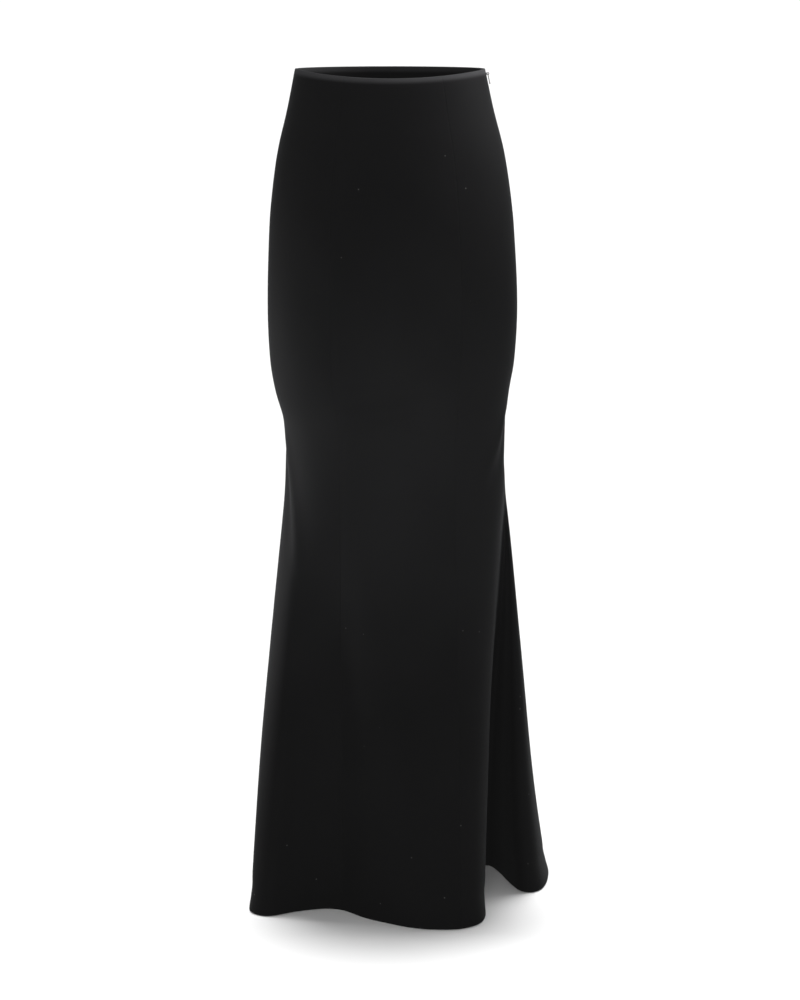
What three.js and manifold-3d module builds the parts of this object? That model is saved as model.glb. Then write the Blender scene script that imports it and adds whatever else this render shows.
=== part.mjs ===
// Mermaid fishtail skirt in its worn shape: five gores sewn side by side, close from the
// waist to the knee and falling in flutes below it, with a concealed zip in the wearer's
// left side seam. Millimetres, +Z up. The front faces -Y and +X is the wearer's left.
// The origin is the middle of the waist opening.
import * as THREE from 'three';
import { mergeVertices } from 'three/addons/utils/BufferGeometryUtils.js';
import Module from 'manifold-3d';

// Driving dimensions
const LENGTH = 1078;       // waist to hem
const KNEE = 500;          // waist to the knee ring, where the flare starts
const CLOTH = 1.8;         // thickness of the wall
const SEAM_GAP = 0.3;      // between the edges of two gores
const WAIST_DIP = 9;       // how much lower the waist edge hangs at the front
const DIP_FADE = 120;      // the dip is gone this far down
const SOFT_START = 0.1;    // share of the flare over which it eases in
const CLEAR = 0.3;         // between the zip's pieces and what they lie on
const STEPS = 2;           // columns of facets between two ribs
const SLOPE_SPAN = 0.05;   // share of a rib's width over which a slope is measured
const SLOPE_DROP = 2;      // and the distance down over which it is
const ARC_SPAN = 0.02;     // share of a rib's width for each step along an arc
const ROUND_STEPS = 7;     // facets in half of a small round
const WELD = 1e-4;         // points closer than this are one

// Fullness of the two sides of the flare, beyond straight ribs: where round the skirt it
// is greatest, how far round it reaches, both in degrees, and how far it stands out
const FULL_LEFT = { angle: 103, reach: 26, out: 5, crossing: 0.62, peak: 0.069 };
const FULL_RIGHT = { angle: 266, reach: 26, out: -5.5, lateness: 1.6 };

// The zip, in the frame of its head: x is out of the cloth, y goes round towards the back,
// z is up along the cloth, and 0 is on the outer face at the waist edge
const ZIP_MOUTH = 3;       // width of the seam at the very top, around the zip's head
const TAPE_LEVELS = [14, 30, 65, 105, 150, 200];
const TAPE_WIDTH = 24;
const TAPE_COLUMNS = 6;
const TAPE_THICK = 0.9;
const SLIDER = { width: 6, height: 10, depth: 3, top: -3, bevel: 0.6 };
const CROWN = { x: 1.9, z: -6.5, outer: 1.9, hole: 1.1, thick: 0.9, root: 1 };
const TAB = {
  thick: 1, bar: 1, headHalf: 2.2, endHalf: 2.8, length: 14, windowHalf: 1.3, window: 2.2,
};

// Rings of the close part: distance down, half width, shift to the wearer's left,
// depth to the front, depth to the back
const RINGS = [
  [0, 120, 0, 88, 88],
  [50, 130.5, 0.5, 92, 99],
  [100, 143, 1, 97, 114],
  [150, 151, 1.5, 101, 126],
  [200, 156, 2, 104, 133],
  [300, 160, 3, 104, 128],
  [370, 157, 3, 102, 118],
  [410, 150.5, 3, 99, 109],
  [450, 143, 6, 95, 102],
  [500, 141.5, 5.5, 92, 98],
];

// Ribs of the flare: where each meets the floor plan of the hem, and the angle round the
// knee ring at which it starts. 0 degrees is the front, 90 the wearer's left.
const RIBS = [
  [0, -148, -3],
  [31, -164, 10],
  [62, -170, 21],
  [92, -166, 33],
  [114, -146, 50],
  [122, -112, 65],
  [118, -70, 75],
  [113, -20, 81],
  [111, 33, 85],
  [118, 76, 88],
  [134, 86, 90],
  [147, 59, 93],
  [160, 14, 95],
  [172, -18, 97],
  [188, -25, 99],
  [202, -8, 102],
  [211, 34, 109],
  [211, 84, 119],
  [190, 128, 129],
  [158, 146, 139],
  [134, 176, 148],
  [104, 214, 157],
  [64, 226, 166],
  [28, 200, 174],
  [0, 186, 181],
  [-30, 202, 189],
  [-64, 226, 197],
  [-102, 210, 207],
  [-128, 172, 217],
  [-150, 142, 227],
  [-172, 108, 238],
  [-178, 62, 248],
  [-173, 18, 258],
  [-177, -26, 268],
  [-182, -70, 276],
  [-179, -104, 286],
  [-158, -118, 298],
  [-124, -102, 309],
  [-92, -91, 320],
  [-62, -96, 331],
  [-32, -126, 343],
];

// Gores, each from one rib to another, going towards the wearer's left
const GORES = [
  { name: 'front_panel', from: 39, to: 44 },
  { name: 'side_front_left', from: 3, to: 10 },
  { name: 'back_left', from: 10, to: 24 },
  { name: 'back_right', from: 24, to: 33 },
  { name: 'side_front_right', from: 33, to: 39 },
];
const ZIP_RIB = 10;        // the wearer's left side seam, which holds the zip

// Levels of the rows of facets, as distances down from the waist
const LEVELS = [
  0, 30, 65, 105, 150, 200, 255, 310, 355, 395, 430, 465, 500,
  535, 590, 660, 740, 830, 930, 1010, LENGTH,
];

const black = new THREE.MeshStandardMaterial({ color: 0x0b0b0c, roughness: 0.85, metalness: 0 });
const tapeBlack = new THREE.MeshStandardMaterial({ color: 0x0e0e0f, roughness: 0.9, metalness: 0 });
const enamel = new THREE.MeshStandardMaterial({ color: 0x151516, roughness: 0.35, metalness: 0.6 });

// Cubic through p1 and p2 that leaves each along the line of its neighbours
function cubic(p0, p1, p2, p3, t) {
  const a = 2 * p1;
  const b = p2 - p0;
  const c = 2 * p0 - 5 * p1 + 4 * p2 - p3;
  const d = -p0 + 3 * p1 - 3 * p2 + p3;
  return 0.5 * (a + b * t + c * t * t + d * t * t * t);
}

// Half width, shift, front and back depth at a distance down the close part. The slope at
// each ring is the slope between its neighbours.
function ringAt(down) {
  const last = RINGS.length - 1;
  let i = 0;
  while (i < last - 1 && down > RINGS[i + 1][0]) i += 1;
  const span = RINGS[i + 1][0] - RINGS[i][0];
  const t = (down - RINGS[i][0]) / span;
  const slope = (j, k) => {
    const lo = RINGS[Math.max(j - 1, 0)];
    const hi = RINGS[Math.min(j + 1, last)];
    return (hi[k] - lo[k]) / (hi[0] - lo[0]);
  };
  return [1, 2, 3, 4].map((k) => {
    const p = RINGS[i][k];
    const q = RINGS[i + 1][k];
    const m = slope(i, k) * span;
    const n = slope(i + 1, k) * span;
    const t2 = t * t;
    const t3 = t2 * t;
    return (2 * t3 - 3 * t2 + 1) * p + (t3 - 2 * t2 + t) * m + (3 * t2 - 2 * t3) * q + (t3 - t2) * n;
  });
}

// The rib at a place along the list, whole numbers being the ribs themselves
function ribAt(place) {
  const n = RIBS.length;
  const i = Math.floor(place);
  const pick = (j, k) => {
    const turn = Math.floor(j / n);
    const rib = RIBS[j - turn * n];
    return k === 2 ? rib[2] + 360 * turn : rib[k];
  };
  return [0, 1, 2].map((k) => {
    let p = [i - 1, i, i + 1, i + 2].map((j) => pick(j, k));
    if (k === 2) p = p.map((a) => (a * Math.PI) / 180);
    return cubic(...p, place - i);
  });
}

// Share of the flare reached at a distance down: it starts softly and then runs straight
function flareAt(down) {
  const s = (down - KNEE) / (LENGTH - KNEE);
  if (s <= 0) return 0;
  const full = 1 - SOFT_START / 2;
  return (s < SOFT_START ? (s * s) / (2 * SOFT_START) : s - SOFT_START / 2) / full;
}

// How much a side of the flare counts at an angle round the skirt
function nearness(angle, { angle: centre, reach }) {
  const off = angle - THREE.MathUtils.degToRad(centre);
  const turned = Math.atan2(Math.sin(off), Math.cos(off));
  return Math.exp(-((turned / THREE.MathUtils.degToRad(reach)) ** 2));
}

// Distance to the wearer's left that the sides stand out beyond straight ribs. The left
// side fills early and then hollows a little; the right side fills late.
function fullnessAt(angle, down) {
  const s = Math.max(0, (down - KNEE) / (LENGTH - KNEE));
  const early = (s * (1 - s) * (FULL_LEFT.crossing - s)) / FULL_LEFT.peak;
  const late = Math.sin(Math.PI * s ** FULL_RIGHT.lateness);
  return FULL_LEFT.out * nearness(angle, FULL_LEFT) * early
    + FULL_RIGHT.out * nearness(angle, FULL_RIGHT) * late;
}

// A point of the skirt's outer face
function outer(place, down) {
  const [hemX, hemY, angle] = ribAt(place);
  const [half, shift, front, back] = ringAt(Math.min(down, KNEE));
  const c = Math.cos(angle);
  const x = shift + half * Math.sin(angle);
  const y = -(c > 0 ? front : back) * c;
  const f = flareAt(down);
  const dip = WAIST_DIP * Math.max(c, 0) ** 2 * Math.max(0, 1 - down / DIP_FADE);
  const full = fullnessAt(angle, down);
  return new THREE.Vector3(x + (hemX - x) * f + full, y + (hemY - y) * f, -down - dip);
}

// Direction round the skirt, towards the wearer's left at the front
function roundwards(place, down) {
  const ahead = outer(place + SLOPE_SPAN, down);
  return ahead.sub(outer(place - SLOPE_SPAN, down)).normalize();
}

// Outward direction of the outer face
function outward(place, down) {
  const up = Math.max(down - SLOPE_DROP, 0);
  const low = Math.min(down + SLOPE_DROP, LENGTH);
  const along = outer(place, low).sub(outer(place, up));
  return along.cross(roundwards(place, down)).normalize();
}

// A point at a depth under the outer face, and moved along it by side millimetres
function under(place, down, depth, side = 0) {
  const moved = outer(place, down).addScaledVector(outward(place, down), -depth);
  return moved.addScaledVector(roundwards(place, down), side);
}

// A closed wall between two grids of points, face[row][column] and back[row][column]
function wall(face, lining) {
  const rows = face.length;
  const columns = face[0].length;
  const points = [];
  for (const grid of [face, lining]) {
    for (const row of grid) for (const p of row) points.push(p.x, p.y, p.z);
  }
  const at = (side, r, c) => (side * rows + r) * columns + c;
  const index = [];
  const quad = (a, b, c, d) => index.push(a, b, c, a, c, d);
  for (let r = 0; r < rows - 1; r += 1) {
    for (let c = 0; c < columns - 1; c += 1) {
      quad(at(0, r, c), at(0, r + 1, c), at(0, r + 1, c + 1), at(0, r, c + 1));
      quad(at(1, r, c), at(1, r, c + 1), at(1, r + 1, c + 1), at(1, r + 1, c));
    }
    const e = columns - 1;
    quad(at(0, r, 0), at(1, r, 0), at(1, r + 1, 0), at(0, r + 1, 0));
    quad(at(0, r, e), at(0, r + 1, e), at(1, r + 1, e), at(1, r, e));
  }
  for (let c = 0; c < columns - 1; c += 1) {
    const e = rows - 1;
    quad(at(0, 0, c), at(0, 0, c + 1), at(1, 0, c + 1), at(1, 0, c));
    quad(at(0, e, c), at(1, e, c), at(1, e, c + 1), at(0, e, c + 1));
  }
  const geometry = new THREE.BufferGeometry();
  geometry.setAttribute('position', new THREE.Float32BufferAttribute(points, 3));
  geometry.setIndex(index);
  return geometry;
}

// Width of the gap at a seam: it opens a little at the top of the zip
function gapAt(rib, row) {
  return rib === ZIP_RIB && row === 0 ? ZIP_MOUTH : SEAM_GAP;
}

// One gore, from its first rib to its last
function gore({ from, to }) {
  const count = (to - from) * STEPS;
  const grid = (depth) => LEVELS.map((down, row) => {
    const line = [];
    for (let i = 0; i <= count; i += 1) {
      const place = from + i / STEPS;
      let side = 0;
      if (i === 0) side = gapAt(from, row) / 2;
      if (i === count) side = -gapAt(to, row) / 2;
      line.push(under(place, down, depth, side));
    }
    return line;
  });
  return wall(grid(0), grid(CLOTH));
}

const skirt = new THREE.Group();
function add(name, geometry, material) {
  const mesh = new THREE.Mesh(geometry, material);
  mesh.name = name;
  skirt.add(mesh);
}

for (const panel of GORES) add(panel.name, gore(panel), black);

// The place along the ribs that lies an arc away from a rib, on the inside of the cloth
function placeByArc(rib, down, arc) {
  const step = Math.sign(arc) * ARC_SPAN;
  let place = rib;
  let gone = 0;
  let last = under(place, down, CLOTH);
  while (gone < Math.abs(arc)) {
    place += step;
    const next = under(place, down, CLOTH);
    gone += next.distanceTo(last);
    last = next;
  }
  return place;
}

// The zip's two tapes, closed and sewn down as one strip inside the side seam
function zipTape() {
  const grid = (depth) => TAPE_LEVELS.map((down) => {
    const line = [];
    for (let i = 0; i <= TAPE_COLUMNS; i += 1) {
      const arc = TAPE_WIDTH * (i / TAPE_COLUMNS - 0.5);
      line.push(under(placeByArc(ZIP_RIB, down, arc), down, depth));
    }
    return line;
  });
  return wall(grid(CLOTH + CLEAR), grid(CLOTH + CLEAR + TAPE_THICK));
}

// Turns the zip head's frame into the skirt's
function headFrame() {
  const x = outward(ZIP_RIB, 0);
  const y = roundwards(ZIP_RIB, 0);
  const z = new THREE.Vector3().crossVectors(x, y).normalize();
  y.crossVectors(z, x);
  return new THREE.Matrix4().makeBasis(x, y, z).setPosition(outer(ZIP_RIB, 0));
}

// manifold-3d joins and cuts the two small metal pieces
const wasm = await Module();
wasm.setup();

function solid(geometry) {
  const bare = geometry.clone();
  bare.deleteAttribute('normal');
  bare.deleteAttribute('uv');
  const merged = mergeVertices(bare, WELD);
  return new wasm.Manifold(new wasm.Mesh({
    numProp: 3,
    vertProperties: new Float32Array(merged.attributes.position.array),
    triVerts: new Uint32Array(merged.index.array),
  }));
}

function geometryOf(body) {
  const mesh = body.getMesh();
  const geometry = new THREE.BufferGeometry();
  geometry.setAttribute('position', new THREE.Float32BufferAttribute(mesh.vertProperties, 3));
  geometry.setIndex([...mesh.triVerts]);
  return geometry;
}

// A plate of the given thickness, drawn in x and z and standing across y
function plateAcrossY(shape, thick) {
  const plate = new THREE.ExtrudeGeometry(shape, {
    depth: thick, bevelEnabled: false, curveSegments: ROUND_STEPS,
  });
  return plate.rotateX(Math.PI / 2).translate(0, thick / 2, 0);
}

// The slider: a body inside the cloth, and a crown with an eye that stands out of the seam
function zipSlider() {
  const inner = -CLOTH - CLEAR;
  const { width, height, depth, top, bevel } = SLIDER;
  const face = new THREE.Shape();
  face.moveTo(-width / 2 + bevel, top - height + bevel);
  face.lineTo(width / 2 - bevel, top - height + bevel);
  face.lineTo(width / 2 - bevel, top - bevel);
  face.lineTo(-width / 2 + bevel, top - bevel);
  face.closePath();
  const body = new THREE.ExtrudeGeometry(face, {
    depth: depth - 2 * bevel, bevelThickness: bevel, bevelSize: bevel, bevelSegments: 2,
  });
  body.rotateX(Math.PI / 2).rotateZ(Math.PI / 2).translate(inner - depth + bevel, 0, 0);
  const crown = new THREE.Shape();
  crown.moveTo(inner - CROWN.root, CROWN.z - CROWN.outer);
  crown.lineTo(CROWN.x, CROWN.z - CROWN.outer);
  crown.absarc(CROWN.x, CROWN.z, CROWN.outer, -Math.PI / 2, Math.PI / 2, false);
  crown.lineTo(inner - CROWN.root, CROWN.z + CROWN.outer);
  crown.closePath();
  crown.holes.push(new THREE.Path().absarc(CROWN.x, CROWN.z, CROWN.hole, 0, 2 * Math.PI, true));
  const eye = plateAcrossY(crown, CROWN.thick);
  return geometryOf(solid(body).add(solid(eye)));
}

// The pull tab: a drop-shaped plate whose window leaves a bar in the crown's eye
function zipPull() {
  const { thick, bar, headHalf, endHalf, length, windowHalf, window } = TAB;
  const head = CROWN.z + bar / 2;
  const round = head - length + endHalf;
  const drop = new THREE.Shape();
  drop.moveTo(-headHalf, head);
  drop.lineTo(-endHalf, round);
  drop.absarc(0, round, endHalf, Math.PI, 2 * Math.PI, false);
  drop.lineTo(headHalf, head);
  drop.closePath();
  const hole = new THREE.Path();
  hole.moveTo(-windowHalf, head - bar);
  hole.lineTo(windowHalf, head - bar);
  hole.lineTo(windowHalf, head - bar - window);
  hole.lineTo(-windowHalf, head - bar - window);
  hole.closePath();
  drop.holes.push(hole);
  const plate = new THREE.ExtrudeGeometry(drop, {
    depth: thick, bevelEnabled: false, curveSegments: ROUND_STEPS,
  });
  return plate.rotateX(Math.PI / 2).rotateZ(Math.PI / 2).translate(CROWN.x - thick / 2, 0, 0);
}

const zipHead = headFrame();
add('zip_tape', zipTape(), tapeBlack);
add('zip_slider', zipSlider().applyMatrix4(zipHead), enamel);
add('zip_pull', zipPull().applyMatrix4(zipHead), enamel);

export default skirt;
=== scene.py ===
# %% [markdown]
# # A mermaid fishtail skirt
# The skirt is five long gores sewn side by side. They are close from the waist to the
# knee and then fall in deep flutes to the floor. This lesson cuts each gore as one
# sheet, folds its edges the way a dressmaker does, and adds the concealed zip and the
# small tack that holds one seam at the hem.
# Everything is in metres. The front faces -Y and +X is the wearer's left.

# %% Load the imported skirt
from math import pi, radians

import bpy
import numpy as np
from mathutils import Matrix, Vector


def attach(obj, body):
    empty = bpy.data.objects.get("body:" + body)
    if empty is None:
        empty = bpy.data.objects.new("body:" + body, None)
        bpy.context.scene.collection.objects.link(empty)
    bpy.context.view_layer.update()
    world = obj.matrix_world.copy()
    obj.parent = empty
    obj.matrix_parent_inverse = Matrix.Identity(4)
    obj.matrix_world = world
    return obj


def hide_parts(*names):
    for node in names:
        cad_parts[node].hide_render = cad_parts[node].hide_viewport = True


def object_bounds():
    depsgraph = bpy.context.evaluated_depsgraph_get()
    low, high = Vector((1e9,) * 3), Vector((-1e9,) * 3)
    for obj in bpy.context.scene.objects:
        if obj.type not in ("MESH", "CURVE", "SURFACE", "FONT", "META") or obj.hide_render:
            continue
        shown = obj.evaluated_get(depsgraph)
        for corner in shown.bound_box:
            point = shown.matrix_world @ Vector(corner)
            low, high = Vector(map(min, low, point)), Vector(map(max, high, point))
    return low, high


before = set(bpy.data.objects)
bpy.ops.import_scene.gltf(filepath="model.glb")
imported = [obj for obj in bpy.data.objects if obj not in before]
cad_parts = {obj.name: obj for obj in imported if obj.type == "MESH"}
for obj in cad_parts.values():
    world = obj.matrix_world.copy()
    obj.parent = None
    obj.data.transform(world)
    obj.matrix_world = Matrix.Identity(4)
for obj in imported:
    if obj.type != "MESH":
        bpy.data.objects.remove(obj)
CAD_BOX = [list(corner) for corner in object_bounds()]
MM = 0.001
print("packed box", CAD_BOX)

# %% [markdown]
# ## Sizes of the form
# The close part is a stack of rings, each an ellipse with its own depth to the front and
# to the back. Below the knee every rib runs straight from the knee ring to its place in
# the floor plan of the hem, so the plan alone decides where a flute stands out and how
# deep the fold beside it goes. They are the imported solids' own sizes, in millimetres.

# %% Rings and ribs
LENGTH = round(-CAD_BOX[0][2] / MM)
KNEE = 500           # waist to the knee ring, where the flare starts
WAIST_DIP = 9        # how much lower the waist edge hangs at the front
DIP_FADE = 120       # the dip is gone this far down
SOFT_START = 0.1     # share of the flare over which it eases in
SLOPE_SPAN = 0.02    # share of a rib's width over which a slope is measured
SLOPE_DROP = 2.0     # and the distance down over which it is
RINGS = np.array([
    # down, half width, shift, front, back
    (0, 120, 0, 88, 88),
    (50, 130.5, 0.5, 92, 99),
    (100, 143, 1, 97, 114),
    (150, 151, 1.5, 101, 126),
    (200, 156, 2, 104, 133),
    (300, 160, 3, 104, 128),
    (370, 157, 3, 102, 118),
    (410, 150.5, 3, 99, 109),
    (450, 143, 6, 95, 102),
    (500, 141.5, 5.5, 92, 98),
])
RIBS = np.array([
    # across and back in the hem's plan, angle round the knee ring
    (0, -148, -3), (31, -164, 10), (62, -170, 21), (92, -166, 33), (114, -146, 50),
    (122, -112, 65), (118, -70, 75), (113, -20, 81), (111, 33, 85), (118, 76, 88),
    (134, 86, 90), (147, 59, 93), (160, 14, 95), (172, -18, 97), (188, -25, 99),
    (202, -8, 102), (211, 34, 109), (211, 84, 119), (190, 128, 129), (158, 146, 139),
    (134, 176, 148), (104, 214, 157), (64, 226, 166), (28, 200, 174), (0, 186, 181),
    (-30, 202, 189), (-64, 226, 197), (-102, 210, 207), (-128, 172, 217),
    (-150, 142, 227), (-172, 108, 238), (-178, 62, 248), (-173, 18, 258),
    (-177, -26, 268), (-182, -70, 276), (-179, -104, 286), (-158, -118, 298),
    (-124, -102, 309), (-92, -91, 320), (-62, -96, 331), (-32, -126, 343),
], float)
ZIP_RIB = 10
# Fullness of the flare's two sides: angle, reach round, how far it stands out
FULL_LEFT, LEFT_CROSSING, LEFT_PEAK = (103, 26, 5), 0.62, 0.069
FULL_RIGHT, RIGHT_LATENESS = (266, 26, -5.5), 1.6
print(len(RINGS), "rings and", len(RIBS), "ribs; length", LENGTH, "mm")


# %% [markdown]
# ## The surface
# A smooth curve through a few rings gives a fair shape, as a bent batten does in a
# boat's hull. Both curves below pass through their points and leave each one along the
# line of its neighbours.

# %% Surface of the skirt
def ring_at(down):
    """Half width, shift, front and back depth of the close part."""
    i = np.clip(np.searchsorted(RINGS[:, 0], down, side="right") - 1, 0, len(RINGS) - 2)
    low, high = np.maximum(np.arange(len(RINGS)) - 1, 0), np.arange(len(RINGS)) + 1
    high = np.minimum(high, len(RINGS) - 1)
    slope = (RINGS[high] - RINGS[low]) / (RINGS[high, :1] - RINGS[low, :1])
    span = RINGS[i + 1, 0] - RINGS[i, 0]
    t = ((down - RINGS[i, 0]) / span)[..., None]
    m, n = slope[i] * span[..., None], slope[i + 1] * span[..., None]
    sized = ((2 * t**3 - 3 * t**2 + 1) * RINGS[i] + (t**3 - 2 * t**2 + t) * m
             + (3 * t**2 - 2 * t**3) * RINGS[i + 1] + (t**3 - t**2) * n)
    return np.moveaxis(sized[..., 1:], -1, 0)


def rib_at(place):
    """Where the rib at a place along the list meets the hem, and its angle."""
    i = np.floor(place).astype(int)
    t = (place - i)[..., None]
    p = []
    for j in (i - 1, i, i + 1, i + 2):
        turn = j // len(RIBS)
        rib = RIBS[j - turn * len(RIBS)].copy()
        rib[..., 2] = np.radians(rib[..., 2] + 360 * turn)
        p.append(rib)
    a, b = 2 * p[1], p[2] - p[0]
    c, d = 2 * p[0] - 5 * p[1] + 4 * p[2] - p[3], -p[0] + 3 * p[1] - 3 * p[2] + p[3]
    return np.moveaxis(0.5 * (a + b * t + c * t**2 + d * t**3), -1, 0)


def flare_at(down):
    """Share of the flare reached: it starts softly and then runs straight."""
    s = np.clip((down - KNEE) / (LENGTH - KNEE), 0, None)
    soft = s**2 / (2 * SOFT_START)
    return np.where(s < SOFT_START, soft, s - SOFT_START / 2) / (1 - SOFT_START / 2)


def fullness_at(angle, down):
    """How far the flare's sides stand out beyond straight ribs, towards +X."""
    s = np.clip((down - KNEE) / (LENGTH - KNEE), 0, None)
    early = s * (1 - s) * (LEFT_CROSSING - s) / LEFT_PEAK
    late = np.sin(pi * s**RIGHT_LATENESS)
    total = 0
    for (centre, reach, out), share in ((FULL_LEFT, early), (FULL_RIGHT, late)):
        off = angle - radians(centre)
        off = np.arctan2(np.sin(off), np.cos(off))
        total = total + out * np.exp(-(off / radians(reach))**2) * share
    return total


def form(place, down):
    """Points of the outer face, in millimetres."""
    hem_x, hem_y, angle = rib_at(place)
    half, shift, front, back = ring_at(np.minimum(down, KNEE))
    c = np.cos(angle)
    x = shift + half * np.sin(angle)
    y = -np.where(c > 0, front, back) * c
    f = flare_at(down)
    dip = WAIST_DIP * np.clip(c, 0, None)**2 * np.clip(1 - down / DIP_FADE, 0, None)
    full = fullness_at(angle, down)
    return np.stack([x + (hem_x - x) * f + full, y + (hem_y - y) * f, -down - dip], -1)


def outward(place, down):
    """Unit vectors out of the cloth."""
    up, low = np.clip(down - SLOPE_DROP, 0, None), np.clip(down + SLOPE_DROP, None, LENGTH)
    ahead = form(place + SLOPE_SPAN, down) - form(place - SLOPE_SPAN, down)
    along = form(place, low) - form(place, up)
    n = np.cross(along, ahead)
    return n / np.linalg.norm(n, axis=-1, keepdims=True)


waist = form(np.arange(0, len(RIBS), 0.05), np.zeros(len(RIBS) * 20))
WAIST_ROUND = np.linalg.norm(np.diff(waist, axis=0), axis=1).sum()
print(f"waist {WAIST_ROUND:.0f} mm round")


# %% [markdown]
# ## Soft creases
# Heavy crepe hangs in few, soft folds. Where the thigh ends, the flare drags the cloth
# into a slanting ridge on each side, and a shallow one crosses the front just above the
# knees. The seat and the backs of the knees have their own. Each crease is a line of
# given points, with a height, a width and a soft fade at both ends.

# %% Creases
TURN_UP = 30         # cloth turned up at the hem
# Each: points (angle round the skirt, distance down), height, width, in millimetres
CREASES = [
    # thigh ridge and the trough behind it, wearer's left
    ([(84, 428), (76, 442), (71, 462), (63, 487), (57, 510), (53, 532)], 2.0, 8),
    ([(96, 432), (86, 446), (80, 470), (73, 496), (67, 522)], -1.8, 9),
    # the same on the wearer's right
    ([(272, 456), (282, 474), (288, 500), (293, 533), (297, 562), (301, 600), (304, 640)], 2.2, 9),
    ([(258, 462), (270, 482), (279, 510), (286, 545), (291, 585), (295, 630)], -2.0, 10),
    # slanting drag lines across the front, above the knees
    ([(-38, 440), (-14, 432), (8, 418), (28, 402)], 3.4, 11),
    ([(-34, 412), (-10, 402), (10, 390), (30, 374)], -3.6, 14),
    ([(-20, 372), (4, 360), (24, 346)], -0.7, 14),
    # under the seat and behind the knees
    ([(140, 335), (162, 350), (184, 356), (206, 350), (226, 336)], -3.0, 24),
    ([(136, 362), (160, 380), (184, 388), (208, 382), (230, 364)], 1.8, 16),
    ([(118, 430), (140, 452), (164, 466), (190, 470)], -2.6, 18),
    ([(122, 404), (146, 428), (170, 442), (196, 446)], 1.8, 13),
    ([(248, 440), (226, 462), (204, 474)], -2.2, 16),
    # pucker at the tacked foot of the seam, wearer's right
    ([(317, LENGTH - 30), (323, LENGTH - 18), (330, LENGTH - 4)], 2.6, 5),
    ([(314, LENGTH - 20), (321, LENGTH - 6)], -1.8, 5),
]
RADIUS = 115         # a typical radius, which turns degrees round into millimetres
FADE_END, FADE_POWER = 0.04, 0.8        # how a crease fades at its ends
ROLL, ROLL_DEEP = 4.5, 9        # how far the front waist edge rolls in, and over what depth
KICK, KICK_DEEP = 1.4, 10       # how far the hem's edge stands out
GROOVE, GROOVE_WIDE = 0.9, 9    # the groove along the hem's sewn line
CALM_DEPTH = 200                # the cloth is drawn smooth over the hips, down to here


def crease_height(angle, down):
    """Sum of all creases at a point, out of the cloth, each faded by its nearest place."""
    height = np.zeros_like(down)
    for points, rise, width in CREASES:
        line = np.array(points, float)
        lane = np.stack([np.radians(line[:, 0]) * RADIUS, line[:, 1]], -1)
        here = np.stack([angle * RADIUS, down], -1)
        full = 2 * pi * RADIUS
        best = np.full(down.shape, np.inf)
        share = np.zeros_like(down)
        for k in range(len(lane) - 1):
            a, b = lane[k], lane[k + 1]
            for turn in (-full, 0, full):
                ab = b - a
                ap = here - a - np.array([turn, 0])
                t = np.clip((ap @ ab) / (ab @ ab), 0, 1)
                gap = np.linalg.norm(ap - t[..., None] * ab, axis=-1)
                near = gap < best
                best = np.where(near, gap, best)
                share = np.where(near, (k + t) / (len(lane) - 1), share)
        fade = np.sin(pi * np.clip(share, FADE_END, 1 - FADE_END))**FADE_POWER
        height += rise * fade * np.exp(-(best / width)**2)
    return height


def pressed_edges(angle, down):
    """The waist rolls in at the front, and the hem stands out below its sewn line."""
    up = LENGTH - down
    roll = ROLL * np.exp(-down / ROLL_DEEP) * np.clip(np.cos(angle), 0, None)
    kick = KICK * np.exp(-(up / KICK_DEEP)**2)
    groove = GROOVE * np.exp(-((up - TURN_UP) / GROOVE_WIDE)**2)
    return kick - groove - roll


def sway(angle, down):
    """The slow, uneven hand of hanging cloth: a long wave and a short one, in millimetres."""
    long_wave = 0.5 * np.sin(angle * 3 + down / 97) * np.sin(down / 143 + 1.3)
    short_wave = 0.3 * np.sin(angle * 7 - down / 61 + 0.7) * np.sin(down / 83 + angle * 2)
    calm = np.clip(down / CALM_DEPTH, 0, 1)
    return (long_wave + short_wave) * calm


print(len(CREASES), "creases")

# %% [markdown]
# ## How a gore is folded
# A gore is one flat sheet. Its long edges are turned in and pressed open as seam
# allowances, its top is turned in at the waist and its bottom is turned up as a hem. So
# the sheet's own path goes along the outside, round a tight bend, and back inside. Two
# such bends side by side make the fine groove that a seam shows.

# %% Cloth and its folds
CLOTH = 0.9          # thickness of the crepe
FACE = 0.5           # depth of the sheet's middle under the form, on the outside
BEND = 0.55          # radius of a pressed fold, to the sheet's middle
ALLOWANCE = 12       # width of a seam allowance
TURN_IN = 28         # cloth turned in at the waist
SEAM_GAP = 0.08      # half of the gap between two gores
ZIP_MOUTH = 1.5      # half of the gap at the very top of the zip seam
ZIP_MOUTH_DEEP = 30
BEND_STEPS = 6


def bend(reverse=False):
    """Distance from the fold's edge and depth, for the points of a pressed fold."""
    turn = np.linspace(0, pi, BEND_STEPS + 1)
    if reverse:
        turn = turn[::-1]
    return BEND * (1 - np.sin(turn)), FACE + BEND * (1 - np.cos(turn))


def edge_profile(inside, outside):
    """Distances from an edge, depths, and what is folded under: inside first."""
    fold, deep = bend(reverse=True)
    distance = np.concatenate([inside, fold, outside])
    depth = np.concatenate([np.full(len(inside), FACE + 2 * BEND), deep,
                            np.full(len(outside), FACE)])
    under = np.concatenate([np.ones(len(inside)), np.linspace(1, 0, len(fold)) > 0.51,
                            np.zeros(len(outside))]).astype(bool)
    return distance, depth, under


NEAR_SEAM = np.array([1.2, 2.2, 3.6, 5.5])
side_w, side_depth, side_under = edge_profile(
    np.array([ALLOWANCE, 9.5, 7, 4.5, 2.2]), NEAR_SEAM)
top_w, top_depth, top_under = edge_profile(
    np.array([TURN_IN, 22, 16, 10, 5, 2]), np.array([1.5, 3, 5]))
low_w, low_depth, low_under = edge_profile(
    np.array([TURN_UP, 24, 18, 12, 7, 3.5, 1.8]), np.array([1.5, 3, 5]))
print("layers at a fold:", FACE, "and", FACE + 2 * BEND, "mm deep")


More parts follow.
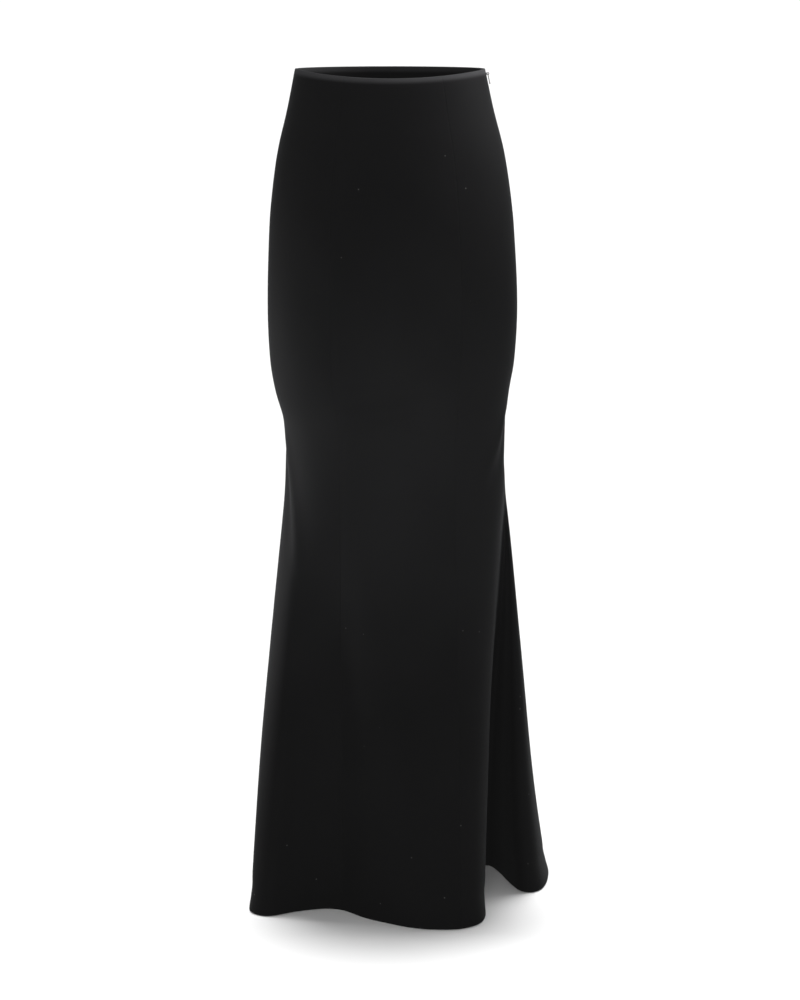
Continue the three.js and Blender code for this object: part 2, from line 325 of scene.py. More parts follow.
# %% [markdown]
# ## A grid for each gore
# Rows go down the skirt and columns across it. Every row is measured along the cloth, so
# the columns stay evenly spaced and the same distances serve as the weave's coordinates.

# %% Grid of one gore
ROW_STEP = 7.0
COLUMN_STEP = 4.0
ARC_STEPS = 60       # steps along an arc for each rib, to measure it
HIPS = 300           # where the close part is widest
GORES = {
    "front_gore": ("front_panel", 39, 44),
    "side_front_gore_left": ("side_front_left", 3, 10),
    "back_gore_left": ("back_left", 10, 24),
    "back_gore_right": ("back_right", 24, 33),
    "side_front_gore_right": ("side_front_right", 33, 39),
}


def rows_down():
    """Distance down, depth and folded-under mark of every row, waist first."""
    first, last = top_w[-1], LENGTH - low_w[-1]
    middle = np.linspace(first, last, int((last - first) / ROW_STEP) + 1)[1:-1]
    down = np.concatenate([top_w, middle, LENGTH - low_w[::-1]])
    depth = np.concatenate([top_depth, np.full(len(middle), FACE), low_depth[::-1]])
    under = np.concatenate([top_under, np.zeros(len(middle), bool), low_under[::-1]])
    return down, depth, under


def across(start, end, down, columns):
    """Places of the columns of one row, from their distances along the cloth."""
    fine = np.linspace(start, end, ARC_STEPS * (end - start) + 1)
    line = form(fine, np.full(len(fine), down))
    arc = np.concatenate([[0], np.cumsum(np.linalg.norm(np.diff(line, axis=0), axis=1))])
    share, offset = columns
    distance = share * arc[-1] + offset
    return np.interp(distance, arc, fine), distance, arc[-1]


def half_gap(rib, down):
    """Half of the gap at a seam, wider where the zip ends."""
    if rib != ZIP_RIB:
        return SEAM_GAP
    return SEAM_GAP + (ZIP_MOUTH - SEAM_GAP) * max(0, 1 - down / ZIP_MOUTH_DEEP)


def gore_grid(start, end):
    """Points, cloth coordinates and folded-under marks of a gore, as arrays of rows."""
    down, row_depth, row_under = rows_down()
    widest = max(across(start, end, d, (np.array([1.0]), 0))[2] for d in (HIPS, LENGTH))
    inner = np.linspace(0, 1, int(widest / COLUMN_STEP))[1:-1]
    edge = side_w[-1]
    share = np.concatenate([np.zeros(len(side_w)), inner, np.ones(len(side_w))])
    depth = np.concatenate([side_depth, np.full(len(inner), FACE), side_depth[::-1]])
    under = np.concatenate([side_under, np.zeros(len(inner), bool), side_under[::-1]])
    points, uvs = [], []
    for d, extra in zip(down, row_depth - FACE):
        left, right = half_gap(start, d), half_gap(end, d)
        offset = np.concatenate([side_w + left, (edge + left) + inner * 0, -side_w[::-1] - right])
        offset[len(side_w):-len(side_w)] -= inner * (2 * edge + left + right)
        place, distance, width = across(start, end, d, (share, offset))
        row = np.full(len(place), float(d))
        normal = outward(place, row)
        angle = rib_at(place)[2]
        lift = crease_height(angle, row) + sway(angle, row) + pressed_edges(angle, row)
        points.append(form(place, row) + normal * (lift - depth - extra)[:, None])
        uvs.append(np.stack([distance - width / 2, -row], -1))
    return np.array(points), np.array(uvs), row_under, under


print(len(rows_down()[0]), "rows down each gore")

# %% [markdown]
# ## From grid to cloth
# The grid becomes a mesh, without the corners where two folds would meet, as they are
# clipped away before a hem is turned. Solidify then gives it the crepe's thickness. The
# cloth coordinates are kept as a UV map, so that the weave follows every fold.

# %% Make a sheet of cloth from a grid
def lone(piece):
    """Selects one piece alone and makes it active."""
    bpy.ops.object.select_all(action="DESELECT")
    piece.select_set(True)
    bpy.context.view_layer.objects.active = piece


def sheet_mesh(name, points, uvs, keep):
    """A mesh over the kept cells of a grid, with its cloth coordinates as a UV map."""
    rows, columns = points.shape[:2]
    index = np.arange(rows * columns).reshape(rows, columns)
    cells = np.stack([index[:-1, :-1], index[1:, :-1], index[1:, 1:], index[:-1, 1:]], -1)[keep]
    used, faces = np.unique(cells, return_inverse=True)
    faces = faces.reshape(-1, 4)
    mesh = bpy.data.meshes.new(name)
    mesh.from_pydata((points.reshape(-1, 3)[used] * MM).tolist(), [], faces.tolist())
    layer = mesh.uv_layers.new(name="cloth")
    layer.data.foreach_set("uv", (uvs.reshape(-1, 2)[used] * MM)[faces.ravel()].ravel())
    mesh.polygons.foreach_set("use_smooth", [True] * len(mesh.polygons))
    piece = bpy.data.objects.new(name, mesh)
    bpy.context.collection.objects.link(piece)
    return piece


def thicken(piece, thickness):
    """Gives a sheet its wall, half to each side, and closes its rims."""
    wall = piece.modifiers.new("wall", "SOLIDIFY")
    wall.thickness, wall.offset, wall.use_rim = thickness * MM, 0, True
    lone(piece)
    bpy.ops.object.modifier_apply(modifier=wall.name)


CLIP_TOP, CLIP_LOW = TURN_IN + 6, LENGTH - TURN_UP - 4   # the allowances stop at these levels
gores = {}
for name, (node, start, end) in GORES.items():
    points, uvs, row_under, column_under = gore_grid(start, end)
    beyond = (points[..., 2] > -CLIP_TOP) | (points[..., 2] < -CLIP_LOW)
    cut_off = (row_under[:, None] | beyond) & column_under[None, :]
    corner = cut_off[:-1, :-1] | cut_off[1:, :-1] | cut_off[1:, 1:] | cut_off[:-1, 1:]
    gores[name] = sheet_mesh(name, points, uvs, ~corner)
    thicken(gores[name], CLOTH)
    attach(gores[name], "skirt")
    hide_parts(node)

# %% [markdown]
# ## Black crepe
# The cloth is almost black and matte. What shows its form is a soft sheen at the edges,
# where the light grazes the fine nap. The pebbled weave is too small to model, so it is
# a bump that follows the cloth coordinates. A narrow band along the waist edge is a
# painted highlight: its colour is made lighter where light from above catches the edge.

# %% Crepe, and how every material is made
HIGHLIGHT_DEPTH = 0.009      # depth of the painted highlight along the waist edge, in metres
LINT_APART = 0.022   # a grain of lint lies in some cells of this size
LINT_SIZE = 0.0010
LINT_SHARE = 0.3     # share of the cells that have one
PEBBLE = (0.0007, 0.00055)      # the weave's grain across and down, in metres


def node_maker(owner):
    """Makes nodes with their values set, and links, in a material or a world."""
    tree = owner.node_tree
    return lambda kind, **values: set_up(tree.nodes.new(kind), values), tree.links.new


def set_up(node, values):
    """Gives a node its values: an input by its name, with _ for a space, or a setting."""
    for key, value in values.items():
        name = key.replace("_", " ")
        if name in node.inputs:
            node.inputs[name].default_value = value
        else:
            setattr(node, key, value)
    return node


def new_material(name, **values):
    """A material with its shader's own values set, and the tools to add nodes to it."""
    material = bpy.data.materials.new(name)
    material.use_nodes = True
    shader = set_up(material.node_tree.nodes["Principled BSDF"], values)
    return material, shader, *node_maker(material)


def crepe():
    """Near-black matte crepe: cloudy tone, a painted highlight along the waist edge, lint and a
    pebbled weave.
    """
    material, shader, new, link = new_material(
        "black_crepe", Roughness=0.7, Specular_IOR_Level=0.02, Sheen_Weight=0.02,
        Sheen_Roughness=0.36, Sheen_Tint=(0.75, 0.77, 0.8, 1))
    cloth = new("ShaderNodeUVMap", uv_map="cloth").outputs["UV"]

    cloud = new("ShaderNodeTexNoise", Scale=9.0, Detail=2.0)
    link(cloth, cloud.inputs["Vector"])
    tone = new("ShaderNodeMapRange", From_Min=0.3, From_Max=0.7)
    link(cloud.outputs["Fac"], tone.inputs["Value"])
    base = new("ShaderNodeMix", data_type="RGBA",
               A=(0.0024, 0.0024, 0.0026, 1), B=(0.0032, 0.0032, 0.0034, 1))
    link(tone.outputs["Result"], base.inputs["Factor"])

    # Painted highlight: the base colour is made much lighter in a narrow band along the waist
    # edge, standing in for light from above on the rolled edge.
    along = new("ShaderNodeSeparateXYZ")
    link(cloth, along.inputs["Vector"])
    highlight_band = new("ShaderNodeMapRange", interpolation_type="SMOOTHSTEP",
                  From_Min=-HIGHLIGHT_DEPTH, From_Max=-HIGHLIGHT_DEPTH / 4)
    link(along.outputs["Y"], highlight_band.inputs["Value"])
    painted_highlight = new("ShaderNodeMix", data_type="RGBA", B=(0.022, 0.022, 0.023, 1))
    link(highlight_band.outputs["Result"], painted_highlight.inputs["Factor"])
    link(base.outputs["Result"], painted_highlight.inputs["A"])

    cell = new("ShaderNodeTexVoronoi", Scale=1 / LINT_APART)
    link(cloth, cell.inputs["Vector"])
    speck = new("ShaderNodeMapRange", From_Min=LINT_SIZE / LINT_APART,
                From_Max=LINT_SIZE / LINT_APART / 2)
    link(cell.outputs["Distance"], speck.inputs["Value"])
    draw = new("ShaderNodeSeparateColor")
    link(cell.outputs["Color"], draw.inputs["Color"])
    chosen = new("ShaderNodeMath", operation="GREATER_THAN")
    chosen.inputs[1].default_value = 1 - LINT_SHARE
    link(draw.outputs["Red"], chosen.inputs[0])
    grain = new("ShaderNodeMath", operation="MULTIPLY")
    link(speck.outputs["Result"], grain.inputs[0])
    link(chosen.outputs["Value"], grain.inputs[1])
    lint = new("ShaderNodeMix", data_type="RGBA", B=(0.06, 0.06, 0.058, 1))
    link(grain.outputs["Value"], lint.inputs["Factor"])
    link(painted_highlight.outputs["Result"], lint.inputs["A"])
    link(lint.outputs["Result"], shader.inputs["Base Color"])

    weave = new("ShaderNodeMapping", Scale=(1 / PEBBLE[0], 1 / PEBBLE[1], 1))
    link(cloth, weave.inputs["Vector"])
    pebble = new("ShaderNodeTexNoise", Scale=1.0, Detail=3.0, Roughness=0.6)
    link(weave.outputs["Vector"], pebble.inputs["Vector"])
    bump = new("ShaderNodeBump", Strength=0.8, Distance=0.0002)
    link(pebble.outputs["Fac"], bump.inputs["Height"])
    link(bump.outputs["Normal"], shader.inputs["Normal"])
    return material


black = crepe()
for piece in gores.values():
    piece.data.materials.append(black)
print("crepe on", len(gores), "gores")

# %% [markdown]
# ## The zip's place
# The zip is sewn into the wearer's left side seam and opens at the waist. Its small parts
# are shaped in the frame of its head, where x is out of the cloth, y goes round towards
# the back and z is up, and are then carried to the seam as they are. The coil's loops
# and the tack at the hem have the same kind of frame, at their own places on a seam.

# %% Frame at a place on a seam
NEARBY = 0.05        # share of a rib's width over which the way round is measured
WALL = 1.8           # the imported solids' wall, which the slider and the tape lie behind
CLEAR = 0.3          # and the air between


def seam_frame(down, rib=ZIP_RIB):
    """Carries a small part from its own frame to its place, a distance down a seam."""
    place, row = np.array([float(rib)]), np.array([float(down)])
    x = Vector(outward(place, row)[0])
    y = Vector((form(place + NEARBY, row) - form(place - NEARBY, row))[0]).normalized()
    z = x.cross(y).normalized()
    y = z.cross(x)
    turn = Matrix((x, y, z)).transposed().to_4x4()
    return Matrix.Translation(Vector(form(place, row)[0]) * MM) @ turn


HEAD = seam_frame(0)
print("zip head at", [round(v, 4) for v in HEAD.translation])

# %% [markdown]
# ## Zip tapes
# A concealed zip has two woven polyester tapes, 11.5 mm wide each, sewn to the seam
# allowances behind the seam. They are flat strips, so each is a sheet like the gores.

# %% Tapes
TAPE_TOP, TAPE_END = 14, 200
TAPE_WIDTH, TAPE_GAP, TAPE_THICK = 11.5, 1.0, 0.4
TAPE_DEEP = WALL + CLEAR + TAPE_THICK / 2 + 0.05    # of the tape's middle, under the form
TAPE_COLUMNS, TAPE_STEP = 7, 3.0
TAPE_RIBS = 5        # the tape is measured along the cloth over this many ribs


def zip_tape(name, side):
    """One tape, on the side of the seam towards the back (1) or the front (-1)."""
    down = np.linspace(TAPE_TOP, TAPE_END, int((TAPE_END - TAPE_TOP) / TAPE_STEP) + 1)
    off = side * np.linspace(TAPE_GAP / 2, TAPE_GAP / 2 + TAPE_WIDTH, TAPE_COLUMNS)
    points = []
    for d in down:
        start, end = sorted((ZIP_RIB, ZIP_RIB + side * TAPE_RIBS))
        place, _, _ = across(start, end, d, (0.5 - side * 0.5 + off * 0, off))
        row = np.full(len(place), d)
        lift = sway(rib_at(place)[2], row)
        points.append(form(place, row) + outward(place, row) * (lift - TAPE_DEEP)[:, None])
    points = np.array(points)
    if side < 0:
        points, off = points[:, ::-1], off[::-1]
    uvs = np.stack(np.broadcast_arrays(off[None, :], -down[:, None]), -1)
    keep = np.ones((len(down) - 1, TAPE_COLUMNS - 1), bool)
    tape = sheet_mesh(name, points, uvs, keep)
    thicken(tape, TAPE_THICK)
    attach(tape, "skirt")
    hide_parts("zip_tape")
    return tape


tapes = [zip_tape("zip_tape_back", 1), zip_tape("zip_tape_front", -1)]

# %% [markdown]
# ## Hand tools
# The small parts are modelled by hand from a cube or a cylinder, with cuts, insets,
# bevels and extrusions. Each step picks what it works on by its place in the part's own
# frame, and the last step carries the part to its seam.

# %% Hand tools for the small parts
def start_part(name):
    """Names the new primitive and opens it for editing, with nothing selected."""
    part = bpy.context.active_object
    part.name = part.data.name = name
    bpy.ops.object.mode_set(mode="EDIT")
    bpy.ops.mesh.select_all(action="DESELECT")
    return part


def pick(part, kind, test):
    """Selects the vertices, edges or faces that pass a test of their middle and half length."""
    bpy.ops.mesh.select_mode(type=kind)
    bpy.ops.mesh.select_all(action="DESELECT")
    bpy.ops.object.mode_set(mode="OBJECT")
    mesh = part.data
    for item in {"VERT": mesh.vertices, "EDGE": mesh.edges, "FACE": mesh.polygons}[kind]:
        corners = [item.index] if kind == "VERT" else item.vertices
        middle = sum((mesh.vertices[c].co for c in corners), Vector()) / len(corners) / MM
        spread = max((mesh.vertices[c].co / MM - middle).length for c in corners)
        item.select = bool(test(middle, item, spread))
    bpy.ops.object.mode_set(mode="EDIT")


def cut_across(axis, places):
    """Cuts the whole part straight through at places along an axis, in mm."""
    normal = Vector([float(axis == k) for k in range(3)])
    for place in places:
        bpy.ops.mesh.select_all(action="SELECT")
        bpy.ops.mesh.bisect(plane_co=normal * place * MM, plane_no=normal)


SMOOTH_UNDER = radians(40)      # edges sharper than this keep their line


def end_part(part, place, body, node, edge=0.0):
    """Softens the edges, carries the part to its place and says what it belongs to."""
    bpy.ops.mesh.select_all(action="SELECT")
    bpy.ops.mesh.normals_make_consistent(inside=False)
    bpy.ops.object.mode_set(mode="OBJECT")
    lone(part)
    bpy.ops.object.transform_apply(location=True, rotation=True, scale=True)
    if edge:
        soft = part.modifiers.new("soft", "BEVEL")
        soft.width, soft.segments, soft.limit_method = edge * MM, 2, "ANGLE"
        bpy.ops.object.modifier_apply(modifier=soft.name)
    bpy.ops.object.shade_smooth_by_angle(angle=SMOOTH_UNDER)
    part.data.transform(place)
    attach(part, body)
    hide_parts(node)
    print(part.name, len(part.data.polygons), "faces")


# %% [markdown]
# ## Coil
# The coil is one nylon thread wound in flat loops, and what shows of each loop is a small
# rounded bar across the gap between the tapes. One bar is modelled, then copied down the
# seam at the coil's pitch and joined, so the coil is one piece as in the real zip.

# %% Coil
PITCH = 1.3
COIL_TOP = TAPE_TOP + 2     # the first loop, below the tape's end
BAR = (0.9, 3.4, 0.75)      # thickness, width across the gap, height
BAR_ROUND = 0.24            # bevel of its long edges
BAR_END, BAR_SWELL = 0.15, 1.12     # the inset of its two ends, and how far they swell
EDGE, NEAR = 0.05, 0.1      # how near to a plane counts as on it
BAR_DEEP = TAPE_DEEP + TAPE_THICK / 2 + BAR[0] / 2

bpy.ops.object.select_all(action="DESELECT")
bpy.ops.mesh.primitive_cube_add(size=1, location=(-BAR_DEEP * MM, 0, 0),
                                scale=[side * MM for side in BAR])
bar = bpy.context.active_object
bpy.ops.object.transform_apply(location=True, rotation=True, scale=True)
bar = start_part("zip_coil")
pick(bar, "EDGE", lambda at, item, spread: abs(at.y) < NEAR and spread > 1)
bpy.ops.mesh.bevel(offset=BAR_ROUND * MM, segments=2, affect="EDGES")
pick(bar, "FACE", lambda at, item, spread: abs(at.y) > BAR[1] / 2 - EDGE)
bpy.ops.mesh.inset(thickness=BAR_END * MM)
bpy.ops.transform.resize(value=(1, BAR_SWELL, 1))
bpy.ops.object.mode_set(mode="OBJECT")
bars = []
for k in range(int((TAPE_END - COIL_TOP) / PITCH)):
    copy = bpy.data.objects.new(f"loop_{k}", bar.data.copy())
    bpy.context.collection.objects.link(copy)
    copy.data.transform(seam_frame(COIL_TOP + k * PITCH))
    bars.append(copy)
bpy.data.objects.remove(bar)
lone(bars[0])
for copy in bars:
    copy.select_set(True)
bpy.ops.object.join()
coil = bars[0]
coil.name = coil.data.name = "zip_coil"
bpy.ops.object.mode_set(mode="EDIT")
end_part(coil, Matrix.Identity(4), "skirt", "zip_tape")

# %% [markdown]
# ## Slider
# Only the slider's crown shows, a small eye in the seam just under the waist edge. Its
# body runs on the coil behind the cloth: two wings, with a channel between them.

# %% Slider
BODY = (3.0, 6.0, 10.0)     # thickness, width, height
BODY_TOP = -3.0
BODY_CUTS = (3.2, 7.0)      # where the body is cut across, below its top
BODY_ROUND, BODY_FOOT = 0.9, 0.72   # its rounded corners, and its width at the foot
CHANNEL_RIM, CHANNEL_DEEP = 0.7, 0.5
EYE_AT = (1.9, -6.5)        # out of the cloth, and up
EYE_OUT, EYE_HOLE, EYE_THICK = 1.9, 1.1, 0.9
FLAT = 0.02                 # squeezes a curved end almost flat
EYE_FOOT = 3.6              # the crown's foot runs back into the body by this much
body_x = -(WALL + CLEAR) - BODY[0] / 2

bpy.ops.object.select_all(action="DESELECT")
bpy.ops.mesh.primitive_cube_add(size=1, scale=[side * MM for side in BODY],
                                location=(body_x * MM, 0, (BODY_TOP - BODY[2] / 2) * MM))
bpy.ops.object.transform_apply(location=True, rotation=True, scale=True)
body = start_part("zip_slider_body")
cut_across(2, [BODY_TOP - cut for cut in BODY_CUTS])
pick(body, "EDGE", lambda at, item, spread: abs(at.y) > BODY[1] / 2 - NEAR
     and (abs(at.z - BODY_TOP) < EDGE or abs(at.x - body_x) > BODY[0] / 2 - NEAR
          and abs(at.z - BODY_TOP) > BODY[2] - NEAR))
bpy.ops.mesh.bevel(offset=BODY_ROUND * MM, segments=3, affect="EDGES")
pick(body, "VERT", lambda at, item, spread: at.z < BODY_TOP - BODY_CUTS[1] - 0.5)
bpy.ops.transform.resize(value=(1, BODY_FOOT, 1))
pick(body, "FACE", lambda at, item, spread: at.x < body_x - BODY[0] / 2 + EDGE)
bpy.ops.mesh.inset(thickness=CHANNEL_RIM * MM, depth=-CHANNEL_DEEP * MM)
end_part(body, HEAD, "skirt", "zip_slider", edge=0.25)

bpy.ops.object.select_all(action="DESELECT")
bpy.ops.mesh.primitive_cylinder_add(vertices=28, radius=EYE_OUT * MM, depth=EYE_THICK * MM,
                                    location=(EYE_AT[0] * MM, 0, EYE_AT[1] * MM),
                                    rotation=(pi / 2, 0, 0))
bpy.ops.object.transform_apply(location=True, rotation=True, scale=True)
crown = start_part("zip_crown")
pick(crown, "FACE", lambda at, item, spread: abs(at.y) > EYE_THICK / 2 - EDGE)
bpy.ops.mesh.inset(thickness=(EYE_OUT - EYE_HOLE) * MM, use_individual=True)
bpy.ops.mesh.bridge_edge_loops()
pick(crown, "FACE", lambda at, item, spread: at.x < EYE_AT[0] - EYE_HOLE - NEAR
     and abs(at.y) < EDGE and abs(item.normal.x) > 0.6)
bpy.ops.mesh.extrude_region_move(TRANSFORM_OT_translate={"value": (-EYE_FOOT * MM, 0, 0)})
bpy.ops.transform.resize(value=(FLAT, 1, 1))
end_part(crown, HEAD, "skirt", "zip_slider", edge=0.12)

# %% [markdown]
# ## Pull tab
# The tab is a flat drop with a window at its head. What is left above the window is the
# bar that turns in the crown's eye. It is cut out of a plate and rounded at the bottom.

# %% Pull tab
TAB_THICK, TAB_BAR, TAB_HEAD, TAB_END, TAB_LENGTH = 1.0, 1.0, 2.2, 2.8, 14.0
WINDOW_HALF, WINDOW = 1.3, 2.2
TAB_FOOT_ROUND, TAB_HEAD_ROUND = 2.0, 0.45
tab_top = EYE_AT[1] + TAB_BAR / 2
tab_low = tab_top - TAB_LENGTH

bpy.ops.object.select_all(action="DESELECT")
bpy.ops.mesh.primitive_cube_add(
    size=1, scale=(TAB_THICK * MM, 2 * TAB_HEAD * MM, TAB_LENGTH * MM),
    location=(EYE_AT[0] * MM, 0, (tab_top + tab_low) / 2 * MM))
bpy.ops.object.transform_apply(location=True, rotation=True, scale=True)
tab = start_part("zip_pull_tab")
cut_across(2, [tab_top - TAB_BAR, tab_top - TAB_BAR - WINDOW])
cut_across(1, [-WINDOW_HALF, WINDOW_HALF])
pick(tab, "FACE", lambda at, item, spread: abs(at.x - EYE_AT[0]) > TAB_THICK / 2 - EDGE
     and abs(at.y) < NEAR and abs(at.z - (tab_top - TAB_BAR - WINDOW / 2)) < NEAR)
bpy.ops.mesh.bridge_edge_loops()
pick(tab, "VERT", lambda at, item, spread: at.z < tab_low + NEAR)
bpy.ops.transform.resize(value=(1, TAB_END / TAB_HEAD, 1))
pick(tab, "EDGE", lambda at, item, spread: at.z < tab_low + NEAR and abs(at.y) > TAB_HEAD
     and abs(at.x - EYE_AT[0]) < NEAR)
bpy.ops.mesh.bevel(offset=TAB_FOOT_ROUND * MM, segments=7, affect="EDGES")
pick(tab, "EDGE", lambda at, item, spread: at.z > tab_top - NEAR
     and abs(at.y) > TAB_HEAD - NEAR and abs(at.x - EYE_AT[0]) < NEAR)
bpy.ops.mesh.bevel(offset=TAB_HEAD_ROUND * MM, segments=3, affect="EDGES")
end_part(tab, HEAD, "pull_tab", "zip_pull", edge=0.14)
hardware = [body, crown, tab]

# %% [markdown]
# ## Tack at the foot of a seam
# The wearer's right front seam is held at the hem by one tack of thread, which shows as
# a tiny paler stitch and puckers the cloth beside it. It is a short round thread lying
# across the seam, with its ends pushed into the cloth.

# %% Tack stitch
TACK_RIB, TACK_UP = 39, 4           # its seam, and its height above the hem
TACK_LONG, TACK_ROUND = 3.0, 0.22   # length, and radius of the thread
TACK_TAPER = 0.3                    # how much its two ends narrow

bpy.ops.object.select_all(action="DESELECT")
bpy.ops.mesh.primitive_cylinder_add(vertices=10, radius=TACK_ROUND * MM, depth=TACK_LONG * MM,
                                    rotation=(pi / 2, 0, 0))
bpy.ops.object.transform_apply(location=True, rotation=True, scale=True)
tack = start_part("hem_tack")
cut_across(1, [-TACK_LONG / 4, TACK_LONG / 4])
pick(tack, "FACE", lambda at, item, spread: abs(at.y) > TACK_LONG / 2 - EDGE)
bpy.ops.mesh.inset(thickness=TACK_ROUND * TACK_TAPER * MM)
bpy.ops.transform.translate(value=(-TACK_ROUND * MM, 0, 0))
end_part(tack, seam_frame(LENGTH - TACK_UP, TACK_RIB), "skirt", "front_panel")

# %% [markdown]
# ## Materials of the small parts
# The tape is a fine twill, so its bump is slanting bands in the tape's own coordinates.
# The slider and the tab have a satin black enamel that is a little uneven, as dipped
# paint is, and worn brighter in fine flecks where fingers and the crown rub it. The
# tack's thread is grey, and its ply shows as bands.

# %% Tape, coil, enamel and thread
TWILL_APART = 0.0045    # in metres


def twill():
    """Black polyester tape with slanting ribs."""
    material, shader, new, link = new_material(
        "zip_tape_twill", Base_Color=(0.010, 0.010, 0.011, 1), Roughness=0.75,
        Specular_IOR_Level=0.2, Sheen_Weight=0.05)
    rib = new("ShaderNodeTexWave", wave_type="BANDS", bands_direction="DIAGONAL",
              Scale=1 / TWILL_APART, Distortion=0.6)
    link(new("ShaderNodeUVMap", uv_map="cloth").outputs["UV"], rib.inputs["Vector"])
    bump = new("ShaderNodeBump", Strength=0.4, Distance=0.0002)
    link(rib.outputs["Fac"], bump.inputs["Height"])
    link(bump.outputs["Normal"], shader.inputs["Normal"])
    return material


def nylon():
    """Black nylon, unevenly glossy."""
    material, shader, new, link = new_material(
        "coil_nylon", Base_Color=(0.009, 0.009, 0.010, 1))
    grain = new("ShaderNodeTexNoise", Scale=900.0, Detail=2.0)
    link(new("ShaderNodeTexCoord").outputs["Object"], grain.inputs["Vector"])
    spread = new("ShaderNodeMapRange", To_Min=0.3, To_Max=0.5)
    link(grain.outputs["Fac"], spread.inputs["Value"])
    link(spread.outputs["Result"], shader.inputs["Roughness"])
    return material


def enamel():
    """Black enamel: a cloudy gloss, and paint worn through in flecks."""
    material, shader, new, link = new_material(
        "satin_enamel", Metallic=0.0, Specular_IOR_Level=0.5)
    place = new("ShaderNodeTexCoord").outputs["Object"]
    cloud = new("ShaderNodeTexNoise", Scale=450.0, Detail=3.0)
    link(place, cloud.inputs["Vector"])
    gloss = new("ShaderNodeMapRange", To_Min=0.26, To_Max=0.46)
    link(cloud.outputs["Fac"], gloss.inputs["Value"])
    link(gloss.outputs["Result"], shader.inputs["Roughness"])
    fleck = new("ShaderNodeTexNoise", Scale=2600.0, Detail=2.0)
    link(place, fleck.inputs["Vector"])
    worn = new("ShaderNodeMapRange", From_Min=0.66, From_Max=0.72)
    link(fleck.outputs["Fac"], worn.inputs["Value"])
    paint = new("ShaderNodeMix", data_type="RGBA",
                A=(0.011, 0.011, 0.012, 1), B=(0.09, 0.085, 0.08, 1))
    link(worn.outputs["Result"], paint.inputs["Factor"])
    link(paint.outputs["Result"], shader.inputs["Base Color"])
    return material


def thread():
    """Grey sewing thread."""
    material, shader, new, link = new_material("tack_thread", Roughness=0.6)
    ply = new("ShaderNodeTexWave", Scale=900.0, Distortion=1.0)
    link(new("ShaderNodeTexCoord").outputs["Object"], ply.inputs["Vector"])
    grey = new("ShaderNodeMix", data_type="RGBA",
               A=(0.05, 0.05, 0.05, 1), B=(0.12, 0.12, 0.12, 1))
    link(ply.outputs["Fac"], grey.inputs["Factor"])
    link(grey.outputs["Result"], shader.inputs["Base Color"])
    return material


for pieces, material in ((tapes, twill()), ([coil], nylon()), (hardware, enamel()),
                         ([tack], thread())):
    for piece in pieces:
        piece.data.materials.append(material)
print("materials on", len(gores) + len(tapes) + len(hardware) + 2, "pieces")

# %% [markdown]
# ## Studio
# Black cloth shows its form only in what it throws back, so the room is white and the
# lamps are few: a key from the front, a narrow one across the knees, small ones above
# the waist in front and on the wearer's left, and a strip low at each side that draws
# the long edges. Their beams are kept narrow, so that they leave the floor alone. A sun
# from above, tilted a little from behind, keeps the floor white and lays a soft shadow
# in front of the hem. At the end, a trace of the white room's glare lifts the blacks.

# %% Floor, lights and camera
def area_light(name, place, target, size, power, spread):
    """A lamp in metres and watts that looks at a target, with its beam in degrees."""
    light = bpy.data.lights.new(name, "AREA")
    light.shape, light.size, light.size_y, light.energy = "RECTANGLE", size[0], size[1], power
    light.spread = radians(spread)
    lamp = bpy.data.objects.new(name, light)
    bpy.context.collection.objects.link(lamp)
    lamp.location = place
    lamp.rotation_euler = (Vector(target) - Vector(place)).to_track_quat("-Z", "Y").to_euler()
    lamp.visible_camera = False


FLOOR = -LENGTH * MM - 0.0012       # just under the cloth's edge
FLOOR_SIZE = 600
bpy.ops.object.select_all(action="DESELECT")
bpy.ops.mesh.primitive_plane_add(size=FLOOR_SIZE, location=(0, 0, FLOOR))
floor = bpy.context.active_object
floor.name = "floor"
floor.data.materials.append(new_material(
    "pale_floor", Base_Color=(0.9, 0.9, 0.9, 1), Roughness=1.0, Specular_IOR_Level=0.0)[0])

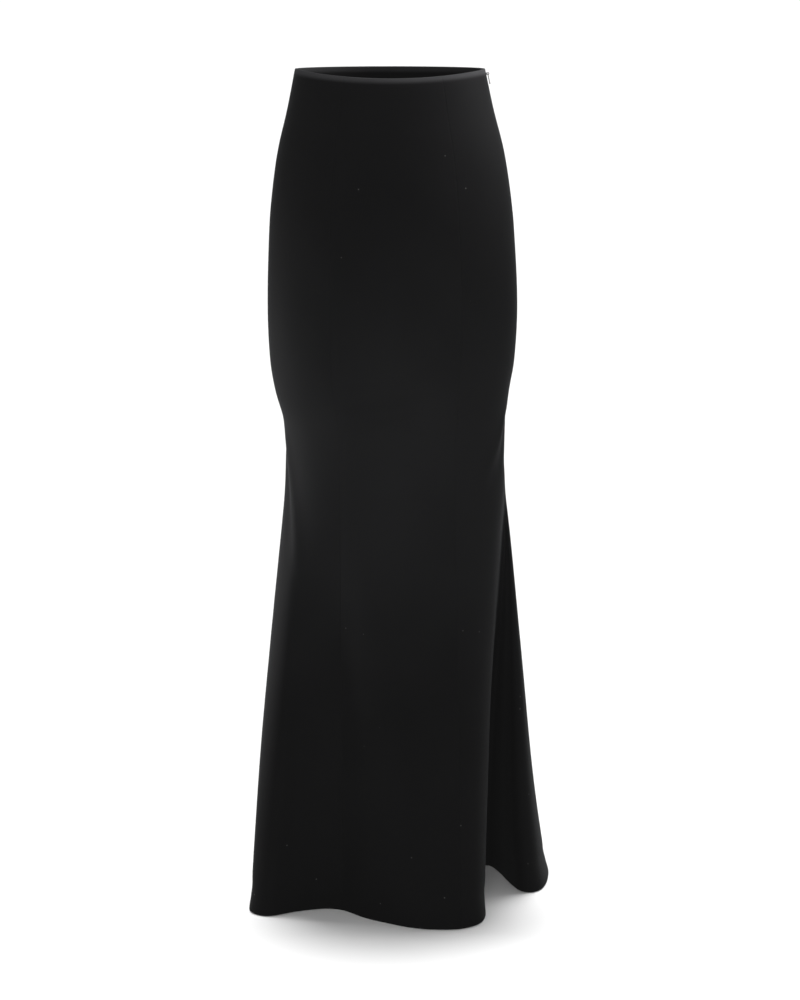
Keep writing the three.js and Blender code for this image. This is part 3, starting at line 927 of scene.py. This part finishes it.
# The room: dim by the floor and brighter overhead, with a plain white backdrop
world = bpy.data.worlds.new("studio")
bpy.context.scene.world = world
world.use_nodes = True
new, link = node_maker(world)
dome = set_up(world.node_tree.nodes["Background"], {"Color": (1, 1, 1, 1)})
height = new("ShaderNodeSeparateXYZ")
link(new("ShaderNodeTexCoord").outputs["Generated"], height.inputs["Vector"])
rise = new("ShaderNodeMapRange", interpolation_type="SMOOTHSTEP",
           From_Min=0.02, From_Max=0.5, To_Min=0.1, To_Max=0.32)
link(height.outputs["Z"], rise.inputs["Value"])
link(rise.outputs["Result"], dome.inputs["Strength"])
backdrop = new("ShaderNodeBackground", Color=(1, 1, 1, 1), Strength=1.0)
either = new("ShaderNodeMixShader")
link(new("ShaderNodeLightPath").outputs["Is Camera Ray"], either.inputs["Fac"])
link(dome.outputs["Background"], either.inputs[1])
link(backdrop.outputs["Background"], either.inputs[2])
link(either.outputs["Shader"], world.node_tree.nodes["World Output"].inputs["Surface"])

sun = bpy.data.objects.new("sun", bpy.data.lights.new("sun", "SUN"))
sun.data.energy, sun.data.angle = 2.9, radians(10)
sun.rotation_euler = (radians(-9.5), 0, 0)
sun.location = (0, 0, 3)
bpy.context.collection.objects.link(sun)
LAMPS = [
    # name, place, target, size, watts, beam
    ("key", (0.1, -3.4, 0.1), (0, 0, -0.5), (1.2, 1.0), 5, 60),
    ("knee", (0, -3.0, -0.4), (0, 0, -0.49), (0.5, 0.1), 0.6, 12),
    ("top", (0, -0.7, 0.7), (0, 0, 0), (0.6, 0.2), 0.35, 50),
    ("right_top", (1.1, 0.1, 0.5), (0.13, 0, 0), (0.3, 0.3), 0.9, 18),
    ("left_strip", (-1.2, 0.3, -0.6), (0, 0, -0.64), (0.3, 0.5), 2.5, 50),
    ("right_strip", (1.3, 0.1, -0.5), (0, 0, -0.5), (0.3, 0.6), 0.5, 60),
]
for lamp in LAMPS:
    area_light(*lamp)

GLARE = 0.0045      # the share of white that reaches every part of the picture
view = bpy.context.scene.view_settings
view.view_transform = "Standard"
view.use_curve_mapping = True
view.curve_mapping.black_level = (-GLARE, -GLARE, -GLARE)
view.curve_mapping.update()

EYE_PLACE, LOOK_DOWN = (0.0126, -3.5, 0.12), radians(10.895)
camera = bpy.data.cameras.new("camera")
camera.lens, camera.sensor_width = 98.8, 36
eye = bpy.data.objects.new("camera", camera)
bpy.context.collection.objects.link(eye)
eye.location = EYE_PLACE
eye.rotation_euler = (pi / 2 - LOOK_DOWN, 0, 0)
bpy.context.scene.camera = eye
print(len(LAMPS), "lamps and a sun")
